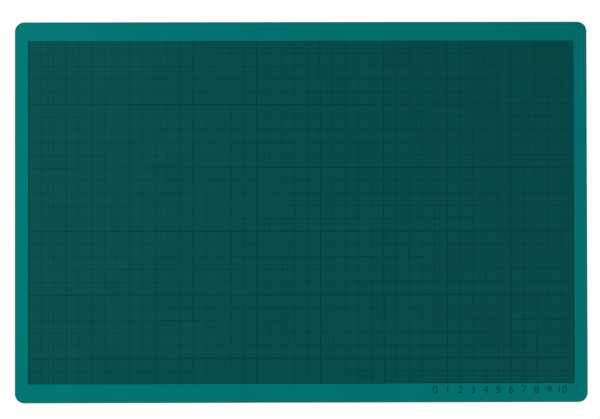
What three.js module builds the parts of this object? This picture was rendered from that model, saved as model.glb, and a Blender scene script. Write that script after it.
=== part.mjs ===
// A self-healing cutting mat: five PVC plies pressed into one sheet, with a measuring grid
// printed on top. Millimetres, +Z up. X runs along the long side, and the origin is the middle
// of the underside.
import * as THREE from 'three';

// Outline of the die-cut sheet
const MAT_LENGTH = 451;
const MAT_WIDTH = 300;
const CORNER_RADIUS = 7.5;
const EDGE_ROLL = 0.6;

// Ply thicknesses, from the table up
const BOTTOM_CUTTING_PLY = 0.8;
const LOWER_CUSHION_PLY = 0.4;
const HARD_CORE_PLY = 0.6;
const UPPER_CUSHION_PLY = 0.4;
const TOP_CUTTING_PLY = 0.8;

// Bare border round the tinted field, at the short ends and along the long sides
const END_BORDER = 10.45;
const SIDE_BORDER = 14.95;

// Printed lines: a frame round the squares, a line every centimetre and a heavy one every fifth
const FRAME_LINE_WIDTH = 0.42;
const GRID_PITCH = 10;
const GRID_LINE_WIDTH = 0.32;
const HEAVY_EVERY = 5;
const HEAVY_LINE_WIDTH = 0.5;

// Thickness of the ink, in the layers that it is laid on in
const TINT_INK = 0.02;
const CROSSWISE_INK = 0.02;
const LENGTHWISE_INK = 0.02;

// How finely the round corners and the rolled edges are stepped
const CORNER_STEPS = 12;
const ROLL_STEPS = 4;

// The most of a ply's thickness that its rolled edge may take
const ROLL_LIMIT = 0.9;

// Colours and finishes
const CUTTING_GREEN = 0x02716e;
const CUSHION_GREEN = 0x0a5f5c;
const CORE_GREY = 0x39413f;
const FIELD_SHADE = 0x084b49;
const INK_DARK = 0x032d2d;
const SOFT_PVC_ROUGHNESS = 0.6;
const HARD_PVC_ROUGHNESS = 0.5;
const INK_ROUGHNESS = 0.7;

const fieldLength = MAT_LENGTH - 2 * END_BORDER;
const fieldWidth = MAT_WIDTH - 2 * SIDE_BORDER;
const squaresAlong = wholeSquares(fieldLength);
const squaresAcross = wholeSquares(fieldWidth);

// How many whole squares one side of the field has room for
function wholeSquares(span) {
  return Math.floor(span / GRID_PITCH);
}

function softPvc(color) {
  return new THREE.MeshStandardMaterial({ color, roughness: SOFT_PVC_ROUGHNESS, metalness: 0 });
}

function hardPvc(color) {
  return new THREE.MeshStandardMaterial({ color, roughness: HARD_PVC_ROUGHNESS, metalness: 0 });
}

function mattInk(color) {
  return new THREE.MeshStandardMaterial({ color, roughness: INK_ROUGHNESS, metalness: 0 });
}

// The sheet's outline drawn in by a set distance, at one height, anticlockwise from the right end
function sheetOutline(inset, height) {
  const radius = CORNER_RADIUS - inset;
  const centreX = MAT_LENGTH / 2 - CORNER_RADIUS;
  const centreY = MAT_WIDTH / 2 - CORNER_RADIUS;
  const corners = [[1, 1], [-1, 1], [-1, -1], [1, -1]];
  const shares = Array.from({ length: CORNER_STEPS + 1 }, (_, step) => step / CORNER_STEPS);
  return corners.flatMap(([sideX, sideY], quarter) => shares.map((share) => {
    const angle = (quarter + share) * Math.PI / 2;
    const x = sideX * centreX + radius * Math.cos(angle);
    const y = sideY * centreY + radius * Math.sin(angle);
    return new THREE.Vector3(x, y, height);
  }));
}

// The corners of the tinted field at one height, anticlockwise
function fieldOutline(height) {
  const x = fieldLength / 2;
  const y = fieldWidth / 2;
  return [[x, y], [-x, y], [-x, -y], [x, -y]].map((corner) => new THREE.Vector3(...corner, height));
}

// A ply between the two cutting plies: the plain outline at one thickness
function plainPly(thickness) {
  const outline = new THREE.Shape(sheetOutline(0, 0));
  return new THREE.ExtrudeGeometry(outline, { depth: thickness, bevelEnabled: false });
}

// The side of a cutting ply: straight up from its bonded face, then rolled over to its outer face
function rolledSide(thickness) {
  const roll = Math.min(EDGE_ROLL, thickness * ROLL_LIMIT);
  const side = [{ inset: 0, height: 0 }];
  for (let step = 0; step <= ROLL_STEPS; step += 1) {
    const angle = (step / ROLL_STEPS) * Math.PI / 2;
    const inset = roll * (1 - Math.cos(angle));
    const height = thickness - roll * (1 - Math.sin(angle));
    side.push({ inset, height });
  }
  return side;
}

// The strip of wall between two outlines of the sheet, the lower one given first
function wallBetween(lower, upper) {
  return lower.flatMap((point, at) => {
    const next = (at + 1) % lower.length;
    return [[point, lower[next], upper[next]], [point, upper[next], upper[at]]];
  });
}

// A flat face that looks up, inside one outline and outside the holes
function flatFace(outline, holes) {
  const points = [outline, ...holes].flat();
  const triangles = THREE.ShapeUtils.triangulateShape(outline, holes);
  return triangles.map((corners) => corners.map((corner) => points[corner]));
}

function lookingDown(face) {
  return face.map(([first, second, third]) => [first, third, second]);
}

function geometryOf(triangles) {
  const geometry = new THREE.BufferGeometry().setFromPoints(triangles.flat());
  geometry.computeVertexNormals();
  return geometry;
}

// A sheet whose side follows the given steps from its lower face to its upper face.
// Outlines drawn on the upper face divide it, so that what is round them is a face of its own.
function steppedPly(side, drawnOutlines) {
  const rings = side.map(({ inset, height }) => sheetOutline(inset, height));
  const topRing = rings[rings.length - 1];
  return geometryOf([
    ...rings.slice(1).flatMap((upper, below) => wallBetween(rings[below], upper)),
    ...lookingDown(flatFace(rings[0], [])),
    ...flatFace(topRing, drawnOutlines),
    ...drawnOutlines.flatMap((outline) => flatFace(outline, [])),
  ]);
}

// The face that is cut on: the bare border lies round the tinted field
function topCuttingPly() {
  return steppedPly(rolledSide(TOP_CUTTING_PLY), [fieldOutline(TOP_CUTTING_PLY)]);
}

// The same sheet turned over, with its rolled edge against the table
function bottomCuttingPly() {
  const side = rolledSide(BOTTOM_CUTTING_PLY);
  const turned = side.map(({ inset, height }) => ({ inset, height: BOTTOM_CUTTING_PLY - height }));
  return steppedPly(turned.reverse(), []);
}

// The dark see-through tint that lies under the lines, over the whole field
function fieldTint() {
  const layer = new THREE.BoxGeometry(fieldLength, fieldWidth, TINT_INK);
  return layer.translate(0, 0, TINT_INK / 2);
}

// The edges of the frame line at both ends of a row of squares, just inside the outermost ones
function frameEdges(squares) {
  const end = squares * GRID_PITCH / 2;
  return [-end, FRAME_LINE_WIDTH - end, end - FRAME_LINE_WIDTH, end];
}

// The edges of the frame line and of every grid line along a row of squares, from its lower end up.
// The heavy lines are counted from the upper end.
function gridEdges(squares) {
  const [lowest, lowFrame, highFrame, highest] = frameEdges(squares);
  const edges = [];
  for (let count = 1; count < squares; count += 1) {
    const middle = (squares / 2 - count) * GRID_PITCH;
    const width = count % HEAVY_EVERY === 0 ? HEAVY_LINE_WIDTH : GRID_LINE_WIDTH;
    edges.unshift(middle - width / 2, middle + width / 2);
  }
  return [lowest, lowFrame, ...edges, highFrame, highest];
}

// One rectangle of ink, with walls on its open sides only. Sides run from the lower one, anticlockwise.
function inkCell([left, right], [near, far], thickness, openSides) {
  const corners = [[left, near], [right, near], [right, far], [left, far]];
  const lower = corners.map((corner) => new THREE.Vector3(...corner, 0));
  const upper = corners.map((corner) => new THREE.Vector3(...corner, thickness));
  const trianglesPerSide = 2;
  const walls = wallBetween(lower, upper);
  return [
    ...lookingDown(flatFace(lower, [])),
    ...flatFace(upper, []),
    ...walls.filter((_, at) => openSides[Math.floor(at / trianglesPerSide)]),
  ];
}

// Printed lines as one net. Between successive edges lie a line, a gap, a line and so on.
function printedNet(columnEdges, rowEdges, thickness) {
  const columns = columnEdges.length - 1;
  const rows = rowEdges.length - 1;
  const onField = (column, row) => column >= 0 && column < columns && row >= 0 && row < rows;
  const onLine = (column, row) => column % 2 === 0 || row % 2 === 0;
  const inked = (column, row) => onField(column, row) && onLine(column, row);
  const neighbours = [[0, -1], [1, 0], [0, 1], [-1, 0]];
  const triangles = [];
  for (let column = 0; column < columns; column += 1) {
    for (let row = 0; row < rows; row += 1) {
      if (inked(column, row)) {
        const openSides = neighbours.map(([stepX, stepY]) => !inked(column + stepX, row + stepY));
        const spanX = columnEdges.slice(column, column + 2);
        const spanY = rowEdges.slice(row, row + 2);
        triangles.push(...inkCell(spanX, spanY, thickness, openSides));
      }
    }
  }
  return geometryOf(triangles);
}

// The lines that run from one long side to the other, held together by the frame line
function crosswisePrint() {
  return printedNet(gridEdges(squaresAlong), frameEdges(squaresAcross), CROSSWISE_INK);
}

// The lines that run from one short end to the other, held together by the frame line
function lengthwisePrint() {
  return printedNet(frameEdges(squaresAlong), gridEdges(squaresAcross), LENGTHWISE_INK);
}

// The layers from the table up, each lying on the one before it
const layers = [
  ['bottom_cutting_ply', BOTTOM_CUTTING_PLY, bottomCuttingPly(), softPvc(CUTTING_GREEN)],
  ['lower_cushion_ply', LOWER_CUSHION_PLY, plainPly(LOWER_CUSHION_PLY), softPvc(CUSHION_GREEN)],
  ['hard_core_ply', HARD_CORE_PLY, plainPly(HARD_CORE_PLY), hardPvc(CORE_GREY)],
  ['upper_cushion_ply', UPPER_CUSHION_PLY, plainPly(UPPER_CUSHION_PLY), softPvc(CUSHION_GREEN)],
  ['top_cutting_ply', TOP_CUTTING_PLY, topCuttingPly(), softPvc(CUTTING_GREEN)],
  ['field_tint_print', TINT_INK, fieldTint(), mattInk(FIELD_SHADE)],
  ['crosswise_grid_print', CROSSWISE_INK, crosswisePrint(), mattInk(INK_DARK)],
  ['lengthwise_grid_print', LENGTHWISE_INK, lengthwisePrint(), mattInk(INK_DARK)],
];

const cuttingMat = new THREE.Group();
let height = 0;
for (const [name, thickness, geometry, material] of layers) {
  const layer = new THREE.Mesh(geometry, material);
  layer.name = name;
  layer.position.z = height;
  cuttingMat.add(layer);
  height += thickness;
}

export default cuttingMat;
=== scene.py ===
# %% [markdown]
# # A self-healing cutting mat
#
# The real mat is a flat sheet that lies on a desk under a knife. Five layers of PVC are pressed
# together hot: two green faces that take the cuts, two cushions that let the blade sink in, and a
# hard core that stops it. A measuring grid is printed on the upper face in dark ink.
#
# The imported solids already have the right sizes, so they stay as a fixed frame. This lesson lays
# finer sheets, lines and numerals over them, and gives each one a finish made of shader nodes.

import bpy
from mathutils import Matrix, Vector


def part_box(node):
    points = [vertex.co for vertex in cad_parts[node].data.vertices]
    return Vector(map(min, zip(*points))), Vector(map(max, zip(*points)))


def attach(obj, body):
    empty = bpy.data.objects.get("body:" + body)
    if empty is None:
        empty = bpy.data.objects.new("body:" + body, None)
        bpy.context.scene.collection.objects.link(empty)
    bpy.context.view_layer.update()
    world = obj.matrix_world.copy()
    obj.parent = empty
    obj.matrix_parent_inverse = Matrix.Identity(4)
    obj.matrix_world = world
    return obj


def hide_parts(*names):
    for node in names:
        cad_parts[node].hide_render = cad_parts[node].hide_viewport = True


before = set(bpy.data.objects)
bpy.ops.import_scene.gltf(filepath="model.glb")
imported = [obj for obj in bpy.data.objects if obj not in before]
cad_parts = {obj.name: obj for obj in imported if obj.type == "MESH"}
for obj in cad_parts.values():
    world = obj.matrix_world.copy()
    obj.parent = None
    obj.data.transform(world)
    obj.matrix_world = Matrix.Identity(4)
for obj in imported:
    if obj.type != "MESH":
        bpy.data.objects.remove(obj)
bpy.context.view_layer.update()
print("solids:", ", ".join(sorted(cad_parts)))

# %% [markdown]
# ## Measuring the sheet
#
# A sheet that is drawn again by eye never quite fits its print. So the outline, the heights of the
# plies and the printed field are all read from the solids. Only what the solids can't say by their
# corners, such as the radius of the round corners, is written here.

# %% Measure the sheet and its printed field
import math

import bmesh
import bpy
from mathutils import Vector

MM = 0.001

sheet_low, sheet_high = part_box("top_cutting_ply")
field_low, field_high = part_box("field_tint_print")
for title, low, high in (("top ply", sheet_low, sheet_high), ("field", field_low, field_high)):
    span = (high - low) / MM
    print(f"{title}: {span.x:.1f} x {span.y:.1f} mm, from {low.z / MM:.2f} up to {high.z / MM:.2f} mm")

# %% [markdown]
# ## The die-cut outline
#
# A steel rule die stamps the mat out of a larger pressed sheet, so all the plies share one outline:
# a rectangle with round corners. A bevelled cube would give it in two clicks, but then the corner
# and the edge share one radius. Here the outline is a function of how far it is drawn in, so the
# same few lines serve every ring of every ply.

# %% Draw the outline
CORNER_RADIUS = 7.5 * MM
CORNER_STEPS = 24
QUARTER_TURN = math.pi / 2


def die_cut_outline(inset):
    """The points of the outline drawn in by a distance, anticlockwise from the right end."""
    radius = CORNER_RADIUS - inset
    centre_x = sheet_high.x - CORNER_RADIUS
    centre_y = sheet_high.y - CORNER_RADIUS
    points = []
    for quarter, (side_x, side_y) in enumerate([(1, 1), (-1, 1), (-1, -1), (1, -1)]):
        for step in range(CORNER_STEPS + 1):
            angle = (quarter + step / CORNER_STEPS) * QUARTER_TURN
            x = side_x * centre_x + radius * math.cos(angle)
            y = side_y * centre_y + radius * math.sin(angle)
            points.append((x, y))
    return points


print("points in one ring of the outline:", len(die_cut_outline(0)))

# %% [markdown]
# ## The side of a ply
#
# The press and the die leave two kinds of edge. The two faces of the mat roll over softly into its
# side. Where two plies meet, each edge is only just broken, which leaves the hairline that lets you
# count the layers from the side. Both are quarter rounds, so one function draws them at two sizes.

# %% Draw the side of a ply
FACE_ROLL = 0.6 * MM
FACE_ROLL_STEPS = 10
SEAM_ROUND = 0.05 * MM
SEAM_ROUND_STEPS = 3


def quarter_round(radius, steps):
    """Inset from the side and depth below the face, from the side round to the face."""
    angles = [QUARTER_TURN * step / steps for step in range(steps + 1)]
    return [(radius * (1 - math.cos(a)), radius * (1 - math.sin(a))) for a in angles]


def ply_side(low, high, lower_edge, upper_edge):
    """Inset and height of each ring of a ply, from its lower face up to its upper face."""
    rising = [(inset, low + depth) for inset, depth in reversed(lower_edge)]
    closing = [(inset, high - depth) for inset, depth in upper_edge]
    return rising + closing


rolled_edge = quarter_round(FACE_ROLL, FACE_ROLL_STEPS)
seam_edge = quarter_round(SEAM_ROUND, SEAM_ROUND_STEPS)
print("rings in a rolled edge and in a seam edge:", len(rolled_edge), len(seam_edge))

# %% [markdown]
# ## Pieces of the mat
#
# The plies, the hairlines and the numerals are all drawn as meshes, point by point. Modifiers could
# do some of it, but a mesh that is whole from the start is the same in every view.
# The mat has no joint, so each piece rides on its one body.

# %% Put a mesh into the scene
def finished_mesh(name, shape):
    """Puts a shape into the scene as a piece that belongs to the mat."""
    mesh = bpy.data.meshes.new(name)
    shape.to_mesh(mesh)
    shape.free()
    piece = bpy.data.objects.new(name, mesh)
    bpy.context.scene.collection.objects.link(piece)
    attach(piece, "root")
    print(f"{name}: {len(mesh.vertices)} points, {len(mesh.polygons)} faces")
    return piece


# %% [markdown]
# ## A ply as a closed mesh
#
# Rings joined by walls, with a face across the top and bottom, make a closed sheet. The walls are
# shaded smooth, because the roll is round, and the two faces stay flat. The walls get the second
# finish of the ply: they were cut and rolled by the die, and the faces were pressed. On the green
# plies that finish is also darker, as painted shade along the rolled edge and the side.

# %% Make a ply
PRESSED = 0
CUT = 1


def pressed_ply(name, low, high, lower_edge, upper_edge):
    """A closed sheet between two heights, whose side follows the two given edges."""
    sheet = bmesh.new()
    rings = []
    for inset, height in ply_side(low, high, lower_edge, upper_edge):
        rings.append([sheet.verts.new((x, y, height)) for x, y in die_cut_outline(inset)])
    for lower, upper in zip(rings, rings[1:]):
        for at in range(len(lower)):
            after = (at + 1) % len(lower)
            wall = sheet.faces.new((lower[at], lower[after], upper[after], upper[at]))
            wall.smooth = True
            wall.material_index = CUT
    for ring in (reversed(rings[0]), rings[-1]):
        sheet.faces.new(ring).material_index = PRESSED
    return finished_mesh(name, sheet)


top_side = ply_side(sheet_low.z, sheet_high.z, seam_edge, rolled_edge)
print("rings in the side of the top ply:", len(top_side))

# %% [markdown]
# ## Noise for the finishes
#
# Nothing on this mat is painted from a picture. Each finish starts from noise whose spots have a
# real size in metres, so the grain keeps its scale on a piece of any size. Drawn out along one axis,
# the same spots turn into streaks or fine lines.

# %% Make noise
ROUND_SPOTS = (1, 1, 1)


def new_finish(name):
    """An empty finish, with its node tree and its shader."""
    finish = bpy.data.materials.new(name)
    finish.use_nodes = True
    tree = finish.node_tree
    return finish, tree, tree.nodes["Principled BSDF"]


def spots(tree, size, detail, drawn_out=ROUND_SPOTS):
    """Noise with spots of about the given size, longer along an axis by its number in drawn_out."""
    place = tree.nodes.new("ShaderNodeTexCoord")
    stretch = tree.nodes.new("ShaderNodeMapping")
    stretch.inputs["Scale"].default_value = [1 / length for length in drawn_out]
    noise = tree.nodes.new("ShaderNodeTexNoise")
    noise.inputs["Scale"].default_value = 1 / size
    noise.inputs["Detail"].default_value = detail
    tree.links.new(place.outputs["Object"], stretch.inputs["Vector"])
    tree.links.new(stretch.outputs["Vector"], noise.inputs["Vector"])
    return noise.outputs["Fac"]


print("drawn out along X, Y and Z for a round spot:", *ROUND_SPOTS)

# %% [markdown]
# ## From noise to a surface
#
# Raw noise stays close to its middle value, so only that reach is used. One tool turns it into a
# number, such as a roughness, and one into a colour between two shades. Curves could shape it more
# freely, but two ends are all that a plain sheet of plastic needs.

# %% Turn noise into numbers and colours
NOISE_REACH = (0.3, 0.7)


def ranged(tree, value, reach, levels):
    """A number that runs from one level to the other while a value runs through its reach."""
    change = tree.nodes.new("ShaderNodeMapRange")
    change.inputs["From Min"].default_value, change.inputs["From Max"].default_value = reach
    change.inputs["To Min"].default_value, change.inputs["To Max"].default_value = levels
    tree.links.new(value, change.inputs["Value"])
    return change.outputs["Result"]


def as_colour(tree, noise, dark, light):
    """The noise as a colour that runs between two shades."""
    ramp = tree.nodes.new("ShaderNodeValToRGB")
    first, last = ramp.color_ramp.elements
    first.position, last.position = NOISE_REACH
    first.color = (*dark, 1)
    last.color = (*light, 1)
    tree.links.new(noise, ramp.inputs["Fac"])
    return ramp.outputs["Color"]


print("reach of the noise:", *NOISE_REACH)

# %% [markdown]
# ## Sums and relief
#
# Two noises add up to a richer grain, so there is a tool for sums. The other one lets the light fall
# as if the surface had a relief. Real dents would need millions of faces, and a bump is enough for a
# grain that is far finer than the mat is thick.

# %% Do sums and raise a relief
def worked_out(tree, operation, *values):
    """The result of one step of arithmetic on values, each the output of a node or a plain number."""
    node = tree.nodes.new("ShaderNodeMath")
    node.operation = operation
    for value, socket in zip(values, node.inputs):
        if isinstance(value, bpy.types.NodeSocket):
            tree.links.new(value, socket)
        else:
            socket.default_value = value
    return node.outputs["Value"]


def relief(tree, shader, height, depth):
    """Bump that follows a height, with the given depth in metres."""
    bump = tree.nodes.new("ShaderNodeBump")
    bump.inputs["Distance"].default_value = depth
    tree.links.new(height, bump.inputs["Height"])
    tree.links.new(bump.outputs["Normal"], shader.inputs["Normal"])


print("tools for the finishes: noise, numbers, colours, sums and relief")

# %% [markdown]
# ## Pressed PVC
#
# The faces of the mat come out of a press between two matt plates. That leaves a fine pebbled grain
# that kills glare, faint cloudy changes in the green where the compound flowed, and long streaks from
# the rollers along the sheet, a little smoother or rougher. The shine is low and the same all over, so
# it is set on the shader and not made by a node.

# %% Mix the pressed PVC
CLOUDS = {"size": 35 * MM, "detail": 3}
STREAKS = {"size": 6 * MM, "detail": 2, "drawn_out": (12, 1, 1)}
GRAIN = {"size": 0.35 * MM, "detail": 1}
FINE_GRAIN = {"size": 0.12 * MM, "detail": 0}
GRAIN_DEPTH = 0.014 * MM
CLOUD_SHADE = 0.04
PRESSED_ROUGHNESS = (0.5, 0.58)
PVC_GLOSS = 0.02


def shade(colour, share):
    """A colour made lighter or darker by a share of itself."""
    return [part * (1 + share) for part in colour]


def pressed_pvc(name, colour):
    """The matt pebbled face that a press leaves."""
    finish, tree, shader = new_finish(name)
    tint = as_colour(tree, spots(tree, **CLOUDS), shade(colour, -CLOUD_SHADE), shade(colour, CLOUD_SHADE))
    roughness = ranged(tree, spots(tree, **STREAKS), NOISE_REACH, PRESSED_ROUGHNESS)
    grain = worked_out(tree, "ADD", spots(tree, **GRAIN), spots(tree, **FINE_GRAIN))
    tree.links.new(tint, shader.inputs["Base Color"])
    tree.links.new(roughness, shader.inputs["Roughness"])
    shader.inputs["Specular IOR Level"].default_value = PVC_GLOSS
    relief(tree, shader, grain, GRAIN_DEPTH)
    return finish


CUTTING_GREEN = (0, 0.172, 0.16)
CUSHION_GREEN = (0.002, 0.114, 0.107)
CORE_GREY = (0.041, 0.053, 0.050)
pressed_green = pressed_pvc("pressed_green_pvc", CUTTING_GREEN)
pressed_cushion = pressed_pvc("pressed_cushion_pvc", CUSHION_GREEN)
pressed_core = pressed_pvc("pressed_core_pvc", CORE_GREY)
print("finishes:", pressed_green.name, pressed_cushion.name, pressed_core.name)

# %% [markdown]
# ## From the face to the side
#
# Where the face of the mat rolls over, its own green passes slowly into that of the side, which on the
# green plies is darker as painted shade along the rolled edge. A weight painted by hand could say how
# much there is of each. The surface knows it already: the less it looks up or down, the more of the
# side's colour it gets.

# %% Find out how far a surface looks sideways
FACE_TO_SIDE = (1, 0.85)
NONE_TO_ALL = (0, 1)


def part_along_z(tree, coordinate):
    """The Z part of one of the coordinates that Blender knows at each point."""
    place = tree.nodes.new("ShaderNodeTexCoord")
    parts = tree.nodes.new("ShaderNodeSeparateXYZ")
    tree.links.new(place.outputs[coordinate], parts.inputs["Vector"])
    return parts.outputs["Z"]


def sideways(tree):
    """Rises from 0 where the surface looks straight up or down to 1 where it leans well over."""
    up_or_down = worked_out(tree, "ABSOLUTE", part_along_z(tree, "Normal"))
    return ranged(tree, up_or_down, FACE_TO_SIDE, NONE_TO_ALL)


full_lean = math.degrees(math.acos(min(FACE_TO_SIDE)))
print(f"all of the side's colour from a lean of {full_lean:.0f} degrees")

# %% [markdown]
# ## The cut edge
#
# The die drags fine upright lines into the side of the sheet, and the plies show there in their own
# colours, though the side of the green plies is darkened as painted shade. Noise drawn out along Z
# gives those lines: it is stretched so far that a line runs right through a ply, and it is as fine as
# the grain along the edge.

# %% Mix the cut edge
DRAG_LINES = {"size": 0.18 * MM, "detail": 2, "drawn_out": (1, 1, 40)}
DRAG_LINE_DEPTH = 0.02 * MM
DRAG_SHADE = 0.14
CUT_ROUGHNESS = (0.5, 0.66)
# How much darker the green side is than its face: painted shade along the rolled edge and the side.
PAINTED_EDGE_SHADE = 0.45


def cut_pvc(name, face_colour, colour):
    """The finely lined side that a die leaves, which starts from the colour of the face."""
    finish, tree, shader = new_finish(name)
    lines = spots(tree, **DRAG_LINES)
    tint = as_colour(tree, lines, shade(colour, -DRAG_SHADE), shade(colour, DRAG_SHADE))
    passing = tree.nodes.new("ShaderNodeMixRGB")
    passing.inputs["Color1"].default_value = (*face_colour, 1)
    tree.links.new(sideways(tree), passing.inputs["Fac"])
    tree.links.new(tint, passing.inputs["Color2"])
    tree.links.new(passing.outputs["Color"], shader.inputs["Base Color"])
    tree.links.new(ranged(tree, lines, NOISE_REACH, CUT_ROUGHNESS), shader.inputs["Roughness"])
    shader.inputs["Specular IOR Level"].default_value = PVC_GLOSS
    relief(tree, shader, lines, DRAG_LINE_DEPTH)
    return finish


# The green of the side, darkened as painted shade along the rolled edge.
PAINTED_SHADE_EDGE_GREEN = shade(CUTTING_GREEN, -PAINTED_EDGE_SHADE)
cut_green_with_painted_shade = cut_pvc("cut_green_pvc_painted_shade", CUTTING_GREEN, PAINTED_SHADE_EDGE_GREEN)
cut_cushion = cut_pvc("cut_cushion_pvc", CUSHION_GREEN, CUSHION_GREEN)
cut_core = cut_pvc("cut_core_pvc", CORE_GREY, CORE_GREY)
print("finishes:", cut_green_with_painted_shade.name, cut_cushion.name, cut_core.name)

# %% [markdown]
# ## The five plies
#
# From the table up: a green face, a cushion, the hard core, a cushion and the green face that is cut
# on. Each new sheet takes its heights from the solid that it stands for and replaces it, so the
# stack closes without a gap. Only the outer edges of the two faces are rolled.

# %% Lay up the plies
finishes = {
    "cutting_green": (pressed_green, cut_green_with_painted_shade),
    "cushion_green": (pressed_cushion, cut_cushion),
    "core_grey": (pressed_core, cut_core),
}
plies = (
    ("bottom_cutting_layer", "bottom_cutting_ply", "cutting_green", rolled_edge, seam_edge),
    ("lower_cushion_layer", "lower_cushion_ply", "cushion_green", seam_edge, seam_edge),
    ("hard_core_layer", "hard_core_ply", "core_grey", seam_edge, seam_edge),
    ("upper_cushion_layer", "upper_cushion_ply", "cushion_green", seam_edge, seam_edge),
    ("top_cutting_layer", "top_cutting_ply", "cutting_green", seam_edge, rolled_edge),
)
for name, solid, slot, lower_edge, upper_edge in plies:
    low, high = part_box(solid)
    ply = pressed_ply(name, low.z, high.z, lower_edge, upper_edge)
    for finish in finishes[slot]:
        ply.data.materials.append(finish)
    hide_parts(solid)

# %% [markdown]
# ## The tinted field
#
# The whole field is first printed with a dark see-through tint, which stops short of the edge and
# leaves a bright border. The tint is far thinner than the grain of the sheet is wide, so the grain
# shows through it, and the same finish in a darker green is all it takes. Its solid is a flat film
# already, and stays as it is.

# %% Tint the field
FIELD_GREEN = (0.0018, 0.081, 0.0766)


def finish_solid(solid, finish):
    """Gives a new finish to a solid that stays as it is."""
    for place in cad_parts[solid].material_slots:
        place.material = finish
    print(f"{solid}: {finish.name}")


finish_solid("field_tint_print", pressed_pvc("tinted_green_pvc", FIELD_GREEN))

# %% [markdown]
# ## Printing ink
#
# The print is pushed through a screen and dries matt, a little thinner in some places than in others.
# Noise at the size of the screen's threads changes how dense it is. A narrow opening in the screen
# lets less ink through than a wide one, so the figures are fully dark, the centimetre lines less so,
# and the tint shows most through the hairlines. A see-through shader would give that too, but mixing
# the two colours beforehand needs no light to pass through the film.

# %% Mix the inks
INK_DENSE = (0.0008, 0.022, 0.022)
INK_THIN = (0.0012, 0.03, 0.03)
SCREEN = {"size": 0.25 * MM, "detail": 2}
INK_DEPTH = 0.003 * MM
INK_GLOSS = 0.02
INK_ROUGHNESS = (0.5, 0.62)
FIGURE_COVER = 1
LINE_COVER = 0.74
HAIRLINE_COVER = 0.35


def over_tint(colour, cover):
    """A colour of ink on the tinted field, where it hides a share of the tint."""
    return [below + cover * (part - below) for below, part in zip(FIELD_GREEN, colour)]


def screen_ink(name, cover):
    """Matt dark ink that was pushed through a screen and hides a share of the tint below it."""
    finish, tree, shader = new_finish(name)
    density = spots(tree, **SCREEN)
    tint = as_colour(tree, density, over_tint(INK_DENSE, cover), over_tint(INK_THIN, cover))
    tree.links.new(tint, shader.inputs["Base Color"])
    tree.links.new(ranged(tree, density, NOISE_REACH, INK_ROUGHNESS), shader.inputs["Roughness"])
    shader.inputs["Specular IOR Level"].default_value = INK_GLOSS
    relief(tree, shader, density, INK_DEPTH)
    return finish


figure_ink = screen_ink("figure_ink", FIGURE_COVER)
line_ink = screen_ink("line_ink", LINE_COVER)
hairline_ink = screen_ink("hairline_ink", HAIRLINE_COVER)
print("finishes:", figure_ink.name, line_ink.name, hairline_ink.name)

# %% [markdown]
# ## The centimetre lines and the frame
#
# These solids have the right shape already: a frame line round the squares, a line every centimetre
# and a heavier one every five. One set runs across the mat and the other along it. They stay as they
# are and only get the ink.

# %% Ink the centimetre lines
finish_solid("crosswise_grid_print", line_ink)
finish_solid("lengthwise_grid_print", line_ink)

# %% [markdown]
# ## The millimetre lines
#
# Between the centimetre lines runs a hairline every millimetre. A shader could draw that net, but it
# would blur as soon as the finish is baked into a picture. As thin bars of ink the lines stay sharp
# however close you look. They are counted from the outer side of the frame line, and every tenth is
# left to the centimetre lines.

# %% Count the millimetre lines and lay a bar of ink
RULING_PITCH = 1 * MM
RULINGS_PER_CENTIMETRE = 10


def ruling_places(first, last):
    """The middle of each ruling between two ends, without those of the centimetre lines."""
    count = round((last - first) / RULING_PITCH)
    return [first + at * RULING_PITCH for at in range(1, count) if at % RULINGS_PER_CENTIMETRE]


def lay_bar(print_layer, low, high):
    """Adds one closed bar of ink between two corners."""
    corners = [(low.x, low.y), (high.x, low.y), (high.x, high.y), (low.x, high.y)]
    under = [print_layer.verts.new((x, y, low.z)) for x, y in corners]
    over = [print_layer.verts.new((x, y, high.z)) for x, y in corners]
    print_layer.faces.new(reversed(under))
    print_layer.faces.new(over)
    for at in range(len(corners)):
        after = (at + 1) % len(corners)
        print_layer.faces.new((under[at], under[after], over[after], over[at]))


grid_low, grid_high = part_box("crosswise_grid_print")
print("hairlines across the mat:", len(ruling_places(grid_low.x, grid_high.x)))

# %% [markdown]
# ## Two sets of hairlines
#
# Hairlines get the least ink, so they lie lowest, on the tint, and are lost inside or under the
# centimetre lines where they meet. One set is a little thicker than the other, because two faces at
# one height would flicker where they cross.

# %% Print the millimetre lines
RULING_WIDTH = 0.12 * MM
CROSSWISE_RULING_INK = 0.008 * MM
LENGTHWISE_RULING_INK = 0.012 * MM
FRAME_LINE_WIDTH = 0.42 * MM
X = 0
Y = 1


def print_rulings(name, solid, stepped, drawn, thickness):
    """Hairlines within the sides of a solid, stepped along one axis and drawn along the other."""
    ink_low, ink_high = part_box(solid)
    layer = bmesh.new()
    for middle in ruling_places(ink_low[stepped], ink_high[stepped]):
        low = ink_low.copy()
        high = ink_high.copy()
        low.z = field_high.z
        high.z = field_high.z + thickness
        low[stepped] = middle - RULING_WIDTH / 2
        high[stepped] = middle + RULING_WIDTH / 2
        low[drawn] += FRAME_LINE_WIDTH
        high[drawn] -= FRAME_LINE_WIDTH
        lay_bar(layer, low, high)
    rulings = finished_mesh(name, layer)
    rulings.data.materials.append(hairline_ink)


print_rulings("crosswise_millimetre_lines", "crosswise_grid_print", X, Y, CROSSWISE_RULING_INK)
print_rulings("lengthwise_millimetre_lines", "lengthwise_grid_print", Y, X, LENGTHWISE_RULING_INK)

# %% [markdown]
# ## The numerals
#
# The lower border has a plain scale near its right end, which counts ten centimetres. Blender's own
# font gives the figures: a text object turns into a mesh, which is then brought to its size. Drawing
# each figure by hand would take many points and look no better.

# %% Cut the figures
FIGURE_DEPTH = 1
FIGURE_ROUNDNESS = 6
FIGURE_WEIGHT = -0.01


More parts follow.
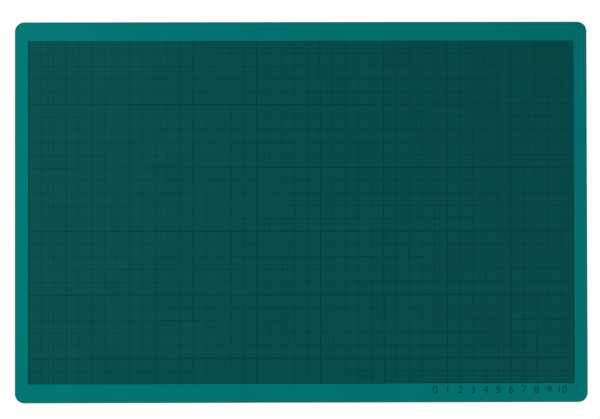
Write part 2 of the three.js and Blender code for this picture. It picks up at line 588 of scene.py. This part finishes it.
def figure_mesh(text):
    """A number as a mesh, one metre high as type is measured and FIGURE_DEPTH thick."""
    type_face = bpy.data.curves.new("numeral", "FONT")
    type_face.body = text
    type_face.align_x = "CENTER"
    type_face.resolution_u = FIGURE_ROUNDNESS
    type_face.offset = FIGURE_WEIGHT
    type_face.extrude = FIGURE_DEPTH / 2
    stamp = bpy.data.objects.new("numeral", type_face)
    bpy.context.scene.collection.objects.link(stamp)
    bpy.context.view_layer.update()
    finished_stamp = stamp.evaluated_get(bpy.context.evaluated_depsgraph_get())
    mesh = bpy.data.meshes.new_from_object(finished_stamp)
    bpy.data.objects.remove(stamp)
    return mesh


tallest = max(corner.co.y for corner in figure_mesh("1").vertices)
print(f"a figure stands {tallest:.2f} of its type size high")

# %% [markdown]
# ## Printing the scale
#
# Each figure stands under its own centimetre line, as thick as the tint beside it. The font leaves
# double points where its outlines close, so these are merged, and all the faces are turned outwards.

# %% Print the numerals
NUMERAL_HEIGHT = 5.8 * MM
NUMERAL_GAP = 1.9 * MM
LAST_NUMERAL = 10
CENTIMETRE = RULINGS_PER_CENTIMETRE * RULING_PITCH
MERGE_DISTANCE = 0.0005 * MM

type_size = NUMERAL_HEIGHT / tallest
ink_thickness = (field_high.z - field_low.z) / FIGURE_DEPTH
ink_middle = (field_low.z + field_high.z) / 2
base_line = field_low.y - NUMERAL_GAP - NUMERAL_HEIGHT
scale_end = grid_high.x - CENTIMETRE

numerals = bmesh.new()
for number in range(LAST_NUMERAL + 1):
    figure = figure_mesh(str(number))
    figure_x = scale_end + (number - LAST_NUMERAL) * CENTIMETRE
    for corner in figure.vertices:
        across, up, through = corner.co
        corner.co.x = figure_x + across * type_size
        corner.co.y = base_line + up * type_size
        corner.co.z = ink_middle + through * ink_thickness
    numerals.from_mesh(figure)
bmesh.ops.remove_doubles(numerals, verts=numerals.verts, dist=MERGE_DISTANCE)
bmesh.ops.recalc_face_normals(numerals, faces=numerals.faces)
border_numerals = finished_mesh("border_numerals", numerals)
border_numerals.data.materials.append(figure_ink)

# %% [markdown]
# ## White paper
#
# The mat lies on a plain white ground. A white surface that is lit like the mat only comes out light
# grey, so the ground has a glow of its own. Most of its brightness is that glow, and the rest is lit,
# which keeps a faint shadow under the edge. Far out the lamps give less light, so the glow rises with
# the distance and the ground stays white.

# %% Make the parts of the ground's finish
GLOW_RISE = (0.4, 2)
GROUND_GLOW = (0.93, 0.97)
GROUND_LIT = 0.15
GROUND_WHITE = 0.8


def glow_by_distance(tree):
    """Light of the ground's own, that grows with the distance from the middle."""
    place = tree.nodes.new("ShaderNodeTexCoord")
    distance = tree.nodes.new("ShaderNodeVectorMath")
    distance.operation = "LENGTH"
    glow = tree.nodes.new("ShaderNodeEmission")
    tree.links.new(place.outputs["Object"], distance.inputs[0])
    strength = ranged(tree, distance.outputs["Value"], GLOW_RISE, GROUND_GLOW)
    tree.links.new(strength, glow.inputs["Strength"])
    return glow.outputs["Emission"]


def lit_paper(tree, level):
    """Matt white paper that gives back a share of the light."""
    paper = tree.nodes.new("ShaderNodeBsdfDiffuse")
    paper.inputs["Color"].default_value = (level, level, level, 1)
    return paper.outputs["BSDF"]


def seen_directly(tree):
    """1 for the camera, in reflections and through clear parts, and 0 for all other light."""
    light = tree.nodes.new("ShaderNodeLightPath")
    seen = light.outputs["Is Camera Ray"]
    for ray in ("Is Glossy Ray", "Is Transmission Ray"):
        seen = worked_out(tree, "ADD", seen, light.outputs[ray])
    return seen


print("glow of the ground, near and far:", *GROUND_GLOW)

# %% [markdown]
# ## The ground
#
# Only the camera and reflections see the glow. For all other light the ground is matt white paper, so
# that it throws back no more light on the side of the mat than a real table would. It is one square,
# far larger than the mat, because its rim mustn't show from low down.

# %% Make the ground
GROUND_SIZE = 30


def white_ground(name):
    """White paper that glows for the camera and reflections, and is plain white for other light."""
    finish, tree, shader = new_finish(name)
    tree.nodes.remove(shader)
    shown = tree.nodes.new("ShaderNodeAddShader")
    tree.links.new(lit_paper(tree, GROUND_LIT), shown.inputs[0])
    tree.links.new(glow_by_distance(tree), shown.inputs[1])
    choice = tree.nodes.new("ShaderNodeMixShader")
    tree.links.new(seen_directly(tree), choice.inputs["Fac"])
    tree.links.new(lit_paper(tree, GROUND_WHITE), choice.inputs[1])
    tree.links.new(shown.outputs["Shader"], choice.inputs[2])
    tree.links.new(choice.outputs["Shader"], tree.nodes["Material Output"].inputs["Surface"])
    return finish


half = GROUND_SIZE / 2
ground_corners = [(-half, -half, 0), (half, -half, 0), (half, half, 0), (-half, half, 0)]
ground_mesh = bpy.data.meshes.new("ground")
ground_mesh.from_pydata(ground_corners, [], [range(len(ground_corners))])
ground_mesh.materials.append(white_ground("white_ground"))
ground = bpy.data.objects.new("ground", ground_mesh)
bpy.context.scene.collection.objects.link(ground)
print("ground:", GROUND_SIZE, "m square")

# %% [markdown]
# ## The lamps
#
# The mat was lit as flat artwork is: from two sides and never from above, where a lamp would shine
# back from the print into the lens. The stronger soft lamp stands beyond the left end and a weaker
# one beyond the lower right corner, so the green is brightest at the left and darkest towards the
# upper right.

# %% Set up the lamps
LAMP_SIZE = 0.5
LAMP_HEIGHT = 0.9
STRONG_LAMP = (-1.22, 0.31, LAMP_HEIGHT)
STRONG_POWER = 20.7
STRONG_TINT = (1, 1, 1.06)
WEAK_LAMP = (0.94, -0.90, LAMP_HEIGHT)
WEAK_POWER = 12.5
WEAK_TINT = (1, 1, 1.05)


def soft_lamp(name, place, power, tint):
    """A square soft lamp that looks at the middle of the mat, and doesn't show itself."""
    bulb = bpy.data.lights.new(name, "AREA")
    bulb.size = LAMP_SIZE
    bulb.energy = power
    bulb.color = tint
    lamp = bpy.data.objects.new(name, bulb)
    lamp.location = place
    lamp.rotation_euler = (-Vector(place)).to_track_quat("-Z", "Y").to_euler()
    lamp.visible_camera = False
    bpy.context.scene.collection.objects.link(lamp)
    print(f"{name}: {power} W at {place}")


soft_lamp("strong_lamp", STRONG_LAMP, STRONG_POWER, STRONG_TINT)
soft_lamp("weak_lamp", WEAK_LAMP, WEAK_POWER, WEAK_TINT)

# %% [markdown]
# ## The room
#
# The walls of the room add even light from all round the horizon, and its ceiling is dark. One even
# sky would be simpler, but it would also light the mat from above and flatten the rolled edge.

# %% Set up the room
ROOM_TINT = (1, 1, 0.92)
HORIZON_LIGHT = 1.16
HORIZON_FADE = 2
HORIZON_TO_TOP = (0, 1)
ALL_TO_NONE = (1, 0)


def light_by_height(tree):
    """Light that is full at the horizon and fades to nothing overhead."""
    share = ranged(tree, part_along_z(tree, "Generated"), HORIZON_TO_TOP, ALL_TO_NONE)
    faded = worked_out(tree, "POWER", share, HORIZON_FADE)
    return worked_out(tree, "MULTIPLY", faded, HORIZON_LIGHT)


room = bpy.data.worlds.new("room")
room.use_nodes = True
walls = room.node_tree.nodes["Background"]
walls.inputs["Color"].default_value = (*ROOM_TINT, 1)
room.node_tree.links.new(light_by_height(room.node_tree), walls.inputs["Strength"])
bpy.context.scene.world = room
print(f"{room.name}: light of {HORIZON_LIGHT} at the horizon")

# %% [markdown]
# ## The camera
#
# The camera hangs over the mat and looks straight down, like one on a copy stand. No copy stand is
# quite true: the outline leans in by a pixel or so, and the small turns here, in degrees, come from
# fitting the four sides of the sheet to that outline. The last quarter of a pixel in its place was
# chosen so that the heavy lines, which are finer than a pixel, come out about equally dark.

# %% Hang the camera
LENS = 70
CAMERA_PLACE = (-4.72 * MM, -5.78 * MM, 921.9 * MM)
CAMERA_TURN = (0.489, -0.232, -0.111)
NEAR_LIMIT = 10 * MM

view = bpy.data.cameras.new("copy_camera")
view.lens = LENS
view.clip_start = NEAR_LIMIT
camera = bpy.data.objects.new("copy_camera", view)
camera.location = CAMERA_PLACE
camera.rotation_euler = [math.radians(turn) for turn in CAMERA_TURN]
bpy.context.scene.collection.objects.link(camera)
bpy.context.scene.camera = camera
bpy.context.scene.view_settings.view_transform = "Standard"
print(f"camera: {LENS} mm lens, {camera.location.z:.3f} m up")
